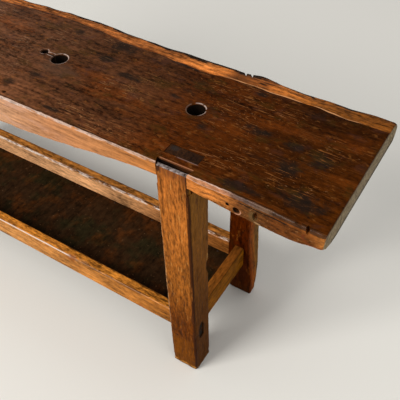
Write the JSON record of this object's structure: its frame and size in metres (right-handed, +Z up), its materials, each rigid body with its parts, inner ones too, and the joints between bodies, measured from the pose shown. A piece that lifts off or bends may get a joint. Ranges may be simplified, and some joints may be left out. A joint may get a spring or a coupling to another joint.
{
  "type": "carpenters workbench",
  "caption": "Free-standing carpenter's workbench with a thick live-edged slab top bored for bench dogs, four legs, low stretchers and a boarded shelf.",
  "frame": {"origin": "on the floor, under the middle of the slab's length and depth", "axes": "+X along the bench to its right end as seen from the front, +Y from the front edge to the rear live edge, +Z up"},
  "size_m": [2.008, 0.4126, 0.8],
  "materials": {
    "slab_wood": "dark worn hardwood with an old oil and wax finish",
    "leg_wood": "golden brown oak, waxed",
    "stretcher_wood": "light honey brown wood, waxed and worn",
    "end_stretcher_wood": "olive brown wood, waxed",
    "ledger_wood": "plain brown wood",
    "shelf_wood": "very dark brown old boards, dull",
    "nail_iron": "dark wrought iron"
  },
  "bodies": {
    "root": {"bench_top": "slab_wood", "front_board_nail_1": "nail_iron", "front_board_nail_2": "nail_iron", "front_board_nail_3": "nail_iron", "front_board_nail_4": "nail_iron", "front_board_nail_5": "nail_iron", "front_board_nail_6": "nail_iron", "front_board_nail_7": "nail_iron", "front_board_nail_8": "nail_iron", "front_board_nail_9": "nail_iron", "front_ledger": "ledger_wood", "front_ledger_nail_1": "nail_iron", "front_ledger_nail_2": "nail_iron", "front_ledger_nail_3": "nail_iron", "front_left_leg": "leg_wood", "front_right_leg": "leg_wood", "front_stretcher": "stretcher_wood", "left_end_stretcher": "end_stretcher_wood", "left_tenon_wedge": "leg_wood", "rear_board_nail_1": "nail_iron", "rear_board_nail_2": "nail_iron", "rear_board_nail_3": "nail_iron", "rear_board_nail_4": "nail_iron", "rear_board_nail_5": "nail_iron", "rear_board_nail_6": "nail_iron", "rear_board_nail_7": "nail_iron", "rear_board_nail_8": "nail_iron", "rear_board_nail_9": "nail_iron", "rear_ledger": "ledger_wood", "rear_ledger_nail_1": "nail_iron", "rear_ledger_nail_2": "nail_iron", "rear_ledger_nail_3": "nail_iron", "rear_left_leg": "leg_wood", "rear_left_peg": "leg_wood", "rear_right_leg": "leg_wood", "rear_right_peg": "leg_wood", "rear_stretcher": "stretcher_wood", "right_end_stretcher": "end_stretcher_wood", "right_tenon_wedge": "leg_wood", "shelf_board_1": "shelf_wood", "shelf_board_2": "shelf_wood", "shelf_board_3": "shelf_wood", "shelf_board_4": "shelf_wood", "shelf_board_5": "shelf_wood", "shelf_board_6": "shelf_wood", "shelf_board_7": "shelf_wood", "shelf_board_8": "shelf_wood", "shelf_board_9": "shelf_wood"}
  },
  "joints": []
}
